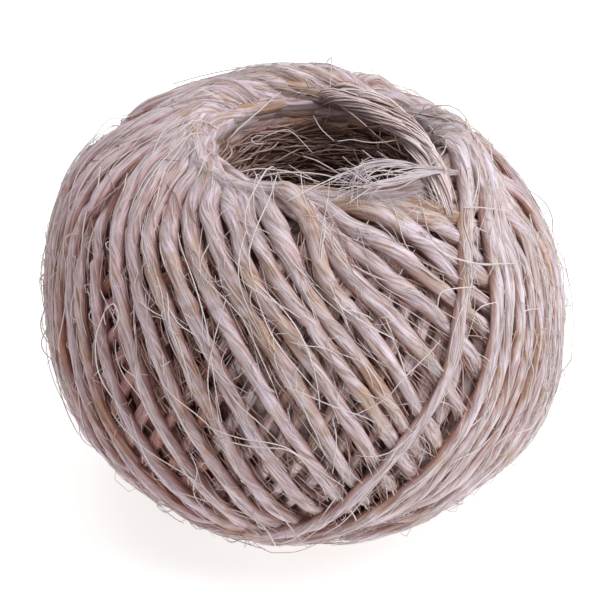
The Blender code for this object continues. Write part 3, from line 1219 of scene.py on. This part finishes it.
def fray_tucked_end(name):
    """The outer end of the twine: it frays over the near rim and is tucked under the turns."""
    rng = np.random.default_rng(91)
    upper = on_form(through_knots(END_UPPER, END_POINTS))
    lower = on_form(through_knots(END_LOWER, END_POINTS))
    at = np.linspace(0.0, 1.0, END_POINTS)
    shares = [stream[2] for stream in END_STREAMS]
    pile = TubePile()
    for _ in range(END_FIBRES):
        edge, spread = END_STREAMS[rng.choice(len(END_STREAMS), p=shares)][:2]
        blend = edge + spread * (rng.normal() + 0.6 * wave_noise(rng, at, 0.7))
        path = upper + (lower - upper) * blend[:, None]
        wander = 0.00022 * wave_noise(rng, at, 0.6)
        path = path + wander[:, None] * unit(rng.normal(0.0, 1.0, (1, 3)))
        loose = np.maximum(0.22 - at, 0.0)[:, None] ** 1.5
        path = path + 0.03 * loose * rng.normal(0.0, 1.0, (1, 3)) * (1.0, 1.0, 0.5)
        start = int(END_POINTS * max(0.0, rng.normal(0.0, 0.10)))
        tone = float(rng.uniform(0.45, 0.85))
        add_fibre(pile, path[start:], rng.uniform(0.00007, 0.00012), tone)
    for knots in END_WEB:
        path = on_form(through_knots(knots, 10))
        add_fibre(pile, path, 0.00009, float(rng.uniform(0.6, 1.0)))
    pile.to_piece(name, fibre_material("sisal_fibre"))


def gather_rim_strands(name):
    """The loosely twisted strands that cut the corner of the upper mouth, in colours lightened as
    painted light.
    """
    rng = np.random.default_rng(95)
    pile = TubePile()
    for knots in RIM_STRANDS:
        middle = through_knots(knots, 22) / 1000.0
        along = unit(np.gradient(middle, axis=0))
        side = unit(np.cross(along, ((0.0, 0.0, 1.0),)))
        over = np.cross(side, along)
        run = summed(np.linalg.norm(np.diff(middle, axis=0), axis=1))
        for _ in range(RIM_STRAND_FIBRES):
            around = rng.uniform(0.0, 2.0 * math.pi) + run * (2.0 * math.pi / RIM_STRAND_PITCH)
            uneven = rng.uniform(0.45, 1.0) + 0.10 * wave_noise(rng, run, 0.012)
            loose = RIM_LOOSE_REACH if rng.random() < RIM_LOOSE_SHARE else 1.0
            reach = RIM_STRAND_RADIUS * uneven * loose
            outward = np.cos(around)[:, None] * side + np.sin(around)[:, None] * over
            path = middle + reach[:, None] * outward
            add_fibre(pile, path, rng.uniform(0.00014, 0.00021), float(rng.uniform(0.2, 1.0)))
    pile.to_piece(name, fibre_material("sisal_rim"))


# The core under the turns: how far it stays below the form in the hole and elsewhere, the radius
# that parts the two, its height over the floor, and how fine its mesh is
CORE_INSET = (0.0016, 0.0042)
CORE_HOLE_REACH = 0.0215
CORE_FLOOR = 0.0012
CORE_ROWS = 90
CORE_COLUMNS = 96


def ring_form(outline, steps):
    """A closed outline of (radius, height) points spun round the axis."""
    form = bmesh.new()
    corners = [form.verts.new((radius, 0.0, height)) for radius, height in outline]
    edges = [
        form.edges.new((corners[i], corners[(i + 1) % len(corners)]))
        for i in range(len(corners))
    ]
    bmesh.ops.spin(
        form,
        geom=corners + edges,
        cent=(0.0, 0.0, 0.0),
        axis=(0.0, 0.0, 1.0),
        angle=2.0 * math.pi,
        steps=steps,
        use_merge=True,
    )
    bmesh.ops.remove_doubles(form, verts=form.verts, dist=1e-6)
    return form


def make_core():
    """A dark ring-shaped body that fills the ball below the turns."""
    half = section()["half"]
    picks = np.linspace(-half, half, CORE_ROWS)[:-1]
    radius, height, out, up = section_at(picks)
    inset = blurred(np.where(radius < CORE_HOLE_REACH, *CORE_INSET), 2.0)
    form = ring_form(zip(radius - out * inset, height - up * inset), CORE_COLUMNS)
    point = np.array([tuple(corner.co) for corner in form.verts])
    reach = np.hypot(point[:, 0], point[:, 1])
    direction = unit(point)
    rise = lump_height(direction) * lump_share(reach, point[:, 2])
    moved = point + direction * rise[:, None] + BALL_CENTRE
    moved[:, 0] += mouth_shift(point[:, 0], reach, point[:, 2])
    moved = keep_off_floor(moved, CORE_FLOOR)
    for corner, there in zip(form.verts, moved):
        corner.co = there
    bmesh.ops.recalc_face_normals(form, faces=form.faces)
    mesh = bpy.data.meshes.new("core")
    form.to_mesh(mesh)
    form.free()
    mesh.shade_smooth()
    mesh.materials.append(core_material())
    core = bpy.data.objects.new("core", mesh)
    bpy.context.scene.collection.objects.link(core)
    finish_piece(core)


# Materials

# Factors on the twine's colour: its fine streaks, its bundles of fibres, the hue of its painted
# shade from the left to the right, and painted shade at the lower left and painted light at the
# upper right
STREAKS = ((0.36, (0.58, 0.48, 0.44)), (0.50, (0.96, 0.94, 0.93)), (0.64, (1.22, 1.22, 1.27)))
BUNDLES = ((0.36, (0.84, 0.74, 0.69)), (0.47, (1.0, 0.98, 0.97)), (0.64, (1.07, 1.09, 1.15)))
PAINTED_SHADE_HUES = ((0.36, (0.94, 0.79, 0.78)), (0.62, (1.0, 0.82, 0.67)))
LIGHT_AND_SHADE_TINTS = (
    (0.06, (1.0, 0.90, 0.915)),
    (0.30, (1.0, 0.96, 0.945)),
    (0.45, (1.0, 1.0, 0.99)),
    (0.65, (1.0, 1.0, 0.965)),
    (0.97, (1.0, 1.04, 1.02)),
)
# Painted light on the turns just below the newest
PAINTED_LIGHT = (1.18, 1.10, 1.07)
WHITE = (1.0, 1.0, 1.0, 1.0)

# Where the slope of painted light and shade starts and ends, in metres, and the shade where the
# painted shade's hue is full
LIGHT_AND_SHADE_SPAN = (-0.019, 0.061)
PAINTED_SHADE_FULL = 0.62

# Painted shade on buried twine: factors for shaded and for deepest places, by material
BURIED_SHADES = {
    "sisal_twine": ((0.80, 0.62, 0.57), (0.60, 0.34, 0.30)),
    "sisal_lining": ((0.68, 0.51, 0.44), (0.17, 0.09, 0.07)),
}

# Dark, middling and bright colours of single fibres, by material
FIBRE_SHADES = {
    "sisal_hay": ((0.17, 0.085, 0.066), (0.47, 0.32, 0.275), (0.63, 0.51, 0.47)),
    "sisal_fuzz": ((0.19, 0.085, 0.073), (0.42, 0.24, 0.205), (0.66, 0.48, 0.45)),
    # The rim strands are lighter than the twine, as painted light where little light reaches them
    "sisal_rim": ((0.40, 0.255, 0.235), (0.69, 0.55, 0.545), (0.85, 0.735, 0.745)),
}
DARK_FIBRE = (0.36, 0.23, 0.17)


class Surface:
    """A new material and the nodes that give it its look. Its methods return their output."""

    def __init__(self, name):
        self.material = bpy.data.materials.new(name)
        self.material.use_nodes = True
        self.shader = self.material.node_tree.nodes["Principled BSDF"]

    def feed(self, node, inputs):
        """Gives a node's inputs their values, or the outputs that they follow."""
        for key, given in inputs.items():
            if isinstance(given, bpy.types.NodeSocket):
                self.material.node_tree.links.new(given, node.inputs[key])
            else:
                node.inputs[key].default_value = given

    def add(self, kind, output, inputs, **settings):
        """A new node with these settings and inputs."""
        node = self.material.node_tree.nodes.new(kind)
        for key, value in settings.items():
            setattr(node, key, value)
        self.feed(node, inputs)
        return node.outputs[output]

    def finished(self, colour, **values):
        """The material, with its colour and the shader's other inputs."""
        inputs = {key.replace("_", " "): value for key, value in values.items()}
        self.feed(self.shader, {"Base Color": colour, **inputs})
        return self.material

    def attribute(self, name, output="Fac"):
        return self.add("ShaderNodeAttribute", output, {}, attribute_name=name)

    def noise(self, at, scale, detail, roughness=0.5):
        inputs = {"Vector": at, "Scale": scale, "Detail": detail, "Roughness": roughness}
        return self.add("ShaderNodeTexNoise", "Fac", inputs)

    def multiply_add(self, value, factor, added):
        inputs = {0: value, 1: factor, 2: added}
        return self.add("ShaderNodeMath", "Value", inputs, operation="MULTIPLY_ADD")

    def share(self, value, low, high, **settings):
        """0 where the value is low and 1 where it is high."""
        inputs = {"Value": value, "From Min": low, "From Max": high}
        return self.add("ShaderNodeMapRange", "Result", inputs, **settings)

    def ramp(self, value, stops):
        """Colours by value, between stops of (place, colour)."""
        colour = self.add("ShaderNodeValToRGB", "Color", {"Fac": value})
        elements = colour.node.color_ramp.elements
        while len(elements) < len(stops):
            elements.new(0.5)
        for element, (at, shade) in zip(elements, stops):
            element.position = at
            element.color = (*shade[:3], 1.0)
        return colour

    def mix(self, blend, factor, first, second):
        inputs = {0: factor, 6: first, 7: second}
        return self.add("ShaderNodeMix", 2, inputs, data_type="RGBA", blend_type=blend)

    def bump(self, height, distance):
        inputs = {"Height": height, "Strength": 0.8, "Distance": distance}
        return self.add("ShaderNodeBump", "Normal", inputs)


@functools.cache
def sisal_material(name):
    """Dry sisal: fine streaks along the fibres, pale and tan lengths, painted shade where buried,
    and painted light towards the upper right.
    """
    settings = bpy.context.scene.twine
    surface = Surface(name)
    shaded, deepest = BURIED_SHADES[name]
    fibre = surface.attribute("fibre", "Vector")
    buried = surface.attribute("buried")
    fine = surface.noise(fibre, 2300.0, 4.0, 0.65)
    coarse = surface.noise(fibre, 800.0, 2.0)
    bundle = surface.noise(fibre, 1500.0, 1.5)

    pale, tan, ochre = settings.pale_colour, settings.tan_colour, settings.ochre_colour
    blotched = surface.multiply_add(coarse, 1.6, surface.attribute("tone"))
    tones = ((0.0, pale), (0.48, pale), (0.72, tan), (0.95, ochre))
    colour = surface.ramp(surface.share(blotched, -1.0, 3.0), tones)

    spot = surface.add("ShaderNodeTexCoord", "Object", {})
    rightward = surface.add("ShaderNodeSeparateXYZ", "X", {"Vector": spot})
    upward = rightward.node.outputs["Z"]
    shade_hue_side = surface.multiply_add(rightward, 5.0, surface.noise(spot, 60.0, 1.0))
    painted_shade_share = surface.share(buried, PLAIN_SHADE, PAINTED_SHADE_FULL)
    light_slant = surface.multiply_add(upward, 0.6, rightward)

    # Painted light and shade by depth, the painted shade's hue by side, and painted light to the
    # upper right
    depths = ((0.0, PAINTED_LIGHT), (PLAIN_SHADE, WHITE), (0.46, shaded), (1.0, deepest))
    for factor in (
        surface.ramp(fine, STREAKS),
        surface.ramp(bundle, BUNDLES),
        surface.ramp(buried, depths),
        surface.mix("MIX", painted_shade_share, WHITE, surface.ramp(shade_hue_side, PAINTED_SHADE_HUES)),
        surface.ramp(surface.share(light_slant, *LIGHT_AND_SHADE_SPAN), LIGHT_AND_SHADE_TINTS),
    ):
        colour = surface.mix("MULTIPLY", 1.0, colour, factor)

    relief = surface.bump(surface.multiply_add(coarse, 1.6, fine), 0.00022)
    sheen = {"Sheen_Weight": 0.25, "Sheen_Roughness": 0.5}
    return surface.finished(
        colour, Normal=relief, Roughness=0.72, Specular_IOR_Level=0.3, **sheen
    )


@functools.cache
def core_material():
    """The fibre seen deep between the turns, painted darker and redder than the twine as shade."""
    surface = Surface("sisal_core")
    noise = surface.noise(surface.add("ShaderNodeTexCoord", "Object", {}), 900.0, 4.0)
    colour = surface.ramp(noise, ((0.3, (0.50, 0.24, 0.20)), (0.7, (0.66, 0.42, 0.36))))
    return surface.finished(colour, Normal=surface.bump(noise, 0.0004), Roughness=0.9)


@functools.cache
def fibre_material(name):
    """Single fibres with one tone each, from dark through middling to bright."""
    settings = bpy.context.scene.twine
    stray = (DARK_FIBRE, settings.pale_colour, settings.fibre_colour)
    shades = FIBRE_SHADES.get(name, stray)
    surface = Surface(name)
    colour = surface.ramp(surface.attribute("tone"), tuple(zip((0.0, 0.5, 1.0), shades)))
    return surface.finished(colour, Roughness=0.45, Specular_IOR_Level=0.4)


# Camera and stage

# The view: angle over the level, distance from the ball, and where the ball's middle lies in it
VIEW_ELEVATION = math.radians(30.0)
VIEW_DISTANCE = 0.56
PICTURE_WIDTH = 600
PIXELS_PER_METRE = 6000.0
BALL_PIXEL = (305.0, 309.0)
SENSOR_WIDTH = 0.036

# The floor: how far it reaches, its glow far from the ball, the glow's tint, and the distances
# from the ball's middle where it starts and stops getting brighter, out of a painted shadow
FLOOR_SIZE = 3.0
FAR_GLOW = 0.92
GLOW_TINT = (1.0, 0.99, 0.975, 1.0)
GLOW_RISE = (0.026, 0.056)

# Lights: name, place, size and colour, all aimed at one point
LIGHT_TARGET = (0.0, 0.0, 0.035)
LIGHTS = (
    ("key", (0.45, -0.20, 0.75), 0.6, (1.0, 0.99, 1.0)),
    ("top", (0.0, 0.10, 0.92), 0.9, (1.0, 1.0, 1.0)),
    ("side", (0.70, -0.22, 0.46), 0.5, (1.0, 0.98, 0.99)),
)


def make_camera():
    """The camera at the photograph's angle, with the ball where the photograph has it."""
    back = Vector((0.0, -math.cos(VIEW_ELEVATION), math.sin(VIEW_ELEVATION)))
    up = Vector((0.0, math.sin(VIEW_ELEVATION), math.cos(VIEW_ELEVATION)))
    right = Vector((1.0, 0.0, 0.0))
    middle = PICTURE_WIDTH / 2.0
    aim = Vector(BALL_CENTRE)
    aim -= right * ((BALL_PIXEL[0] - middle) / PIXELS_PER_METRE)
    aim += up * ((BALL_PIXEL[1] - middle) / PIXELS_PER_METRE)
    camera_data = bpy.data.cameras.new("view")
    camera_data.sensor_width = SENSOR_WIDTH * 1000.0
    frame_width = PICTURE_WIDTH / PIXELS_PER_METRE
    camera_data.lens = camera_data.sensor_width * VIEW_DISTANCE / frame_width
    camera_data.clip_start = 0.01
    camera = bpy.data.objects.new("view", camera_data)
    camera.location = aim + back * VIEW_DISTANCE
    camera.rotation_euler = (-back).to_track_quat("-Z", "Y").to_euler()
    bpy.context.scene.collection.objects.link(camera)
    bpy.context.scene.camera = camera


def area_light(name, location, size, colour, power):
    """A soft square light aimed at the ball."""
    data = bpy.data.lights.new(name, "AREA")
    data.shape = "SQUARE"
    data.size = size
    data.energy = power
    data.color = colour
    light = bpy.data.objects.new(name, data)
    light.location = location
    aim = Vector(LIGHT_TARGET) - Vector(location)
    light.rotation_euler = aim.to_track_quat("-Z", "Y").to_euler()
    bpy.context.scene.collection.objects.link(light)


def plain_world(strength):
    """An even white surround."""
    world = bpy.data.worlds.new("surround")
    world.use_nodes = True
    shade = world.node_tree.nodes["Background"]
    shade.inputs["Color"].default_value = WHITE
    shade.inputs["Strength"].default_value = strength
    bpy.context.scene.world = world


def make_floor(colour, glow):
    """A large pale floor that shines by itself, less near the ball as a painted shadow."""
    form = bmesh.new()
    bmesh.ops.create_grid(form, x_segments=1, y_segments=1, size=FLOOR_SIZE)
    mesh = bpy.data.meshes.new("floor")
    form.to_mesh(mesh)
    form.free()
    surface = Surface("floor")
    spot = surface.add("ShaderNodeTexCoord", "Object", {})
    reach = surface.add("ShaderNodeVectorMath", "Value", {"Vector": spot}, operation="LENGTH")
    shine = surface.share(reach, *GLOW_RISE, interpolation_type="SMOOTHSTEP")
    surface.feed(shine.node, {"To Min": glow, "To Max": FAR_GLOW})
    glowing = {"Emission_Color": GLOW_TINT, "Emission_Strength": shine}
    mesh.materials.append(
        surface.finished((*colour, 1.0), Roughness=0.9, Specular_IOR_Level=0.1, **glowing)
    )
    floor = bpy.data.objects.new("floor", mesh)
    bpy.context.scene.collection.objects.link(floor)
    floor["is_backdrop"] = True


class TwineSettings(bpy.types.PropertyGroup):
    """What a user would change on the twine."""

    thickness: FloatProperty(
        name="Twine thickness",
        description="Thickness of the twine as it lies",
        default=0.0027,
        unit="LENGTH",
        subtype="DISTANCE",
    )
    twist_pitch: FloatProperty(
        name="Twist",
        description="Length of twine in which its fibres go round once",
        default=0.062,
        unit="LENGTH",
        subtype="DISTANCE",
    )
    fibre_stretch: FloatProperty(
        name="Fibre stretch",
        description="How long the streaks are against their width, as a share",
        default=0.07,
    )
    seed: IntProperty(name="Seed", description="Seed of the chance shapes", default=4)
    pale_colour: FloatVectorProperty(
        name="Pale fibre",
        description="Colour of most of the twine",
        default=(0.60, 0.515, 0.56),
        subtype="COLOR",
    )
    tan_colour: FloatVectorProperty(
        name="Tan fibre",
        description="Colour of the browner lengths",
        default=(0.50, 0.385, 0.335),
        subtype="COLOR",
    )
    ochre_colour: FloatVectorProperty(
        name="Ochre fibre",
        description="Colour of the few yellow-brown patches",
        default=(0.52, 0.34, 0.24),
        subtype="COLOR",
    )
    fibre_colour: FloatVectorProperty(
        name="Stray fibre",
        description="Colour of the palest stray fibres",
        default=(0.76, 0.69, 0.67),
        subtype="COLOR",
    )


class StageSettings(bpy.types.PropertyGroup):
    """Floor and light."""

    floor_colour: FloatVectorProperty(
        name="Floor", description="Colour of the floor", default=(0.45, 0.45, 0.45), subtype="COLOR"
    )
    floor_glow: FloatProperty(
        name="Floor glow", description="How much the floor shines by itself", default=0.78
    )
    key_power: FloatProperty(
        name="Key light", description="Power of the light from the upper right", default=4.6
    )
    top_power: FloatProperty(
        name="Top light", description="Power of the light from above", default=4.3
    )
    side_power: FloatProperty(
        name="Side light", description="Power of the light from the right", default=1.5
    )
    surround: FloatProperty(
        name="Surround", description="Brightness of the surround", default=0.20
    )


class SISAL_OT_wind_outer(bpy.types.Operator):
    """Winds the newest turns, which lie on top"""

    bl_idname = "sisal.wind_outer"
    bl_label = "Wind the Outer Turns"

    def execute(self, context):
        wind_pieces("outer_turns", (TURNS_ROUND + 2.0, NEWEST_AGE), 2, 12, 2)
        return {"FINISHED"}


class SISAL_OT_wind_inner(bpy.types.Operator):
    """Winds the older turns, seen between the newest"""

    bl_idname = "sisal.wind_inner"
    bl_label = "Wind the Inner Turns"

    def execute(self, context):
        middle = 2.0 * TURNS_ROUND
        wind_pieces("middle_turns", (middle, TURNS_ROUND + 2.0), 3, 10, 1)
        wind_pieces("inner_turns", (TURNS_ROUND * REVOLUTIONS, middle), 4, 8, 1)
        return {"FINISHED"}


class SISAL_OT_line_hole(bpy.types.Operator):
    """Lines the spindle hole and its mouths with the old turns"""

    bl_idname = "sisal.line_hole"
    bl_label = "Line the Hole"

    def execute(self, context):
        line_hole("upper_lining", 1.0)
        line_hole("lower_lining", -1.0)
        return {"FINISHED"}


class SISAL_OT_comb_fibres(bpy.types.Operator):
    """Lays stray fibres along and across the turns"""

    bl_idname = "sisal.comb_fibres"
    bl_label = "Comb the Fibres"

    def execute(self, context):
        for row in COMBED_FIBRES:
            combed_fibres(*row)
        fill_gaps("gap_fuzz", 66)
        lay_hay("upper_hay", 1.0, 71)
        lay_hay("lower_hay", -1.0, 72)
        lay_long_fibres("long_fibres")
        fray_tucked_end("tucked_end")
        gather_rim_strands("rim_strands")
        return {"FINISHED"}


class SISAL_OT_fill_core(bpy.types.Operator):
    """Makes the dark core under the turns"""

    bl_idname = "sisal.fill_core"
    bl_label = "Fill the Core"

    def execute(self, context):
        make_core()
        return {"FINISHED"}


class SISAL_OT_set_stage(bpy.types.Operator):
    """Sets the camera, the floor and the light"""

    bl_idname = "sisal.set_stage"
    bl_label = "Set the Stage"

    def execute(self, context):
        stage = context.scene.stage
        make_camera()
        make_floor(stage.floor_colour, stage.floor_glow)
        plain_world(stage.surround)
        for light in LIGHTS:
            area_light(*light, getattr(stage, f"{light[0]}_power"))
        context.scene.view_settings.view_transform = "Standard"
        return {"FINISHED"}


class SISAL_PT_panel(bpy.types.Panel):
    """Lists the twine's settings and steps"""

    bl_idname = "SISAL_PT_panel"
    bl_label = "Twine"
    bl_space_type = "VIEW_3D"
    bl_region_type = "UI"
    bl_category = "Twine"

    def draw(self, context):
        layout = self.layout
        for settings in (context.scene.twine, context.scene.stage):
            for name in settings.__annotations__:
                layout.prop(settings, name)
        for step in STEPS:
            layout.operator(step.bl_idname)


STEPS = (
    SISAL_OT_set_stage,
    SISAL_OT_fill_core,
    SISAL_OT_wind_outer,
    SISAL_OT_wind_inner,
    SISAL_OT_line_hole,
    SISAL_OT_comb_fibres,
)
CLASSES = (TwineSettings, StageSettings, *STEPS, SISAL_PT_panel)


def register():
    for item in CLASSES:
        bpy.utils.register_class(item)
    bpy.types.Scene.twine = PointerProperty(type=TwineSettings)
    bpy.types.Scene.stage = PointerProperty(type=StageSettings)


def unregister():
    del bpy.types.Scene.twine
    del bpy.types.Scene.stage
    for item in reversed(CLASSES):
        bpy.utils.unregister_class(item)


def main():
    """Builds every piece in order."""
    register()
    bpy.ops.sisal.set_stage()
    bpy.ops.sisal.fill_core()
    bpy.ops.sisal.wind_outer()
    bpy.ops.sisal.wind_inner()
    bpy.ops.sisal.line_hole()
    bpy.ops.sisal.comb_fibres()
    bounds = [[list(corner) for corner in box] for box in (CAD_BOX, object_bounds())]


if __name__ == "__main__":
    main()
